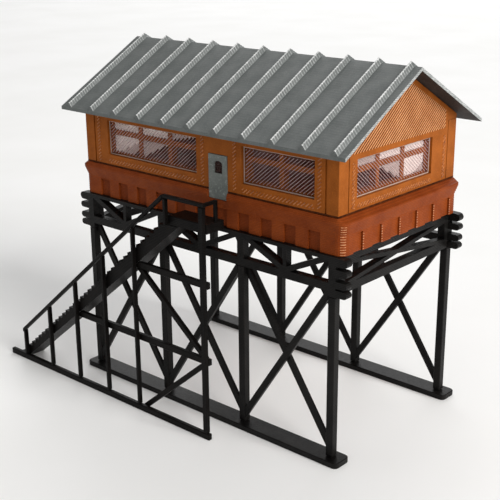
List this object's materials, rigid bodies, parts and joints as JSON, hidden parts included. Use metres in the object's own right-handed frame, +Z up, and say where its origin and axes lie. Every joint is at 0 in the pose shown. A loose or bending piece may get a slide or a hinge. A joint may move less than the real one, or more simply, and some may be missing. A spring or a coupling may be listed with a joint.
{
  "type": "model railway signal box",
  "caption": "Small-scale model of an elevated railway signal box: a cabin with a ribbed lift-off roof on a braced trestle that stands over a track, with a side stair and landing.",
  "frame": {"origin": "on the ground, under the middle of the whole part", "axes": "+X along the track under the cabin, away from the stair's foot; -Y to the side with the stair and the door; +Z up"},
  "size_m": [0.069, 0.038, 0.055],
  "materials": {
    "black_plastic": "satin, with fine layer lines",
    "brown_plastic": "satin, with fine diagonal layer lines",
    "red_brown_plastic": "satin, with fine layer lines",
    "grey_plastic": "satin, with fine layer lines",
    "pale_grey_plastic": "satin",
    "clear_plastic": "clear, with fine diagonal lines"
  },
  "bodies": {
    "signal_box": {"back_falling_brace_1": "black_plastic", "back_falling_brace_2": "black_plastic", "back_falling_brace_3": "black_plastic", "back_left_pane": "clear_plastic", "back_leg_1": "black_plastic", "back_leg_2": "black_plastic", "back_leg_3": "black_plastic", "back_leg_4": "black_plastic", "back_right_pane": "clear_plastic", "back_rising_brace_1": "black_plastic", "back_rising_brace_2": "black_plastic", "back_rising_brace_3": "black_plastic", "back_sill": "black_plastic", "back_truss": "black_plastic", "back_wall": "brown_plastic", "cabin_base": "red_brown_plastic", "door_leaf": "pale_grey_plastic", "door_pane": "clear_plastic", "front_falling_brace_1": "black_plastic", "front_falling_brace_2": "black_plastic", "front_falling_brace_3": "black_plastic", "front_left_pane": "clear_plastic", "front_leg_1": "black_plastic", "front_leg_2": "black_plastic", "front_leg_3": "black_plastic", "front_leg_4": "black_plastic", "front_right_pane": "clear_plastic", "front_rising_brace_1": "black_plastic", "front_rising_brace_2": "black_plastic", "front_rising_brace_3": "black_plastic", "front_sill": "black_plastic", "front_truss": "black_plastic", "front_wall": "brown_plastic", "landing_end_rail": "black_plastic", "landing_handrail": "black_plastic", "left_end_frame": "black_plastic", "left_pane": "clear_plastic", "left_wall": "brown_plastic", "right_end_frame": "black_plastic", "right_pane": "clear_plastic", "right_wall": "brown_plastic", "stair_corner_post": "black_plastic", "stair_falling_brace": "black_plastic", "stair_flight": "black_plastic", "stair_ground_rail": "black_plastic", "stair_handrail": "black_plastic", "stair_landing": "black_plastic", "stair_middle_rail": "black_plastic", "stair_post_1": "black_plastic", "stair_post_2": "black_plastic", "stair_post_3": "black_plastic", "stair_post_4": "black_plastic", "stair_post_5": "black_plastic", "stair_post_6": "black_plastic", "stair_rising_brace": "black_plastic", "stair_upper_rail": "black_plastic"},
    "roof": {"roof": "grey_plastic"}
  },
  "joints": [
    {"name": "roof_lift_off", "type": "slide", "parent": "signal_box", "child": "roof", "axis": [0, 0, 1], "range_m": [0, 0.02]}
  ]
}
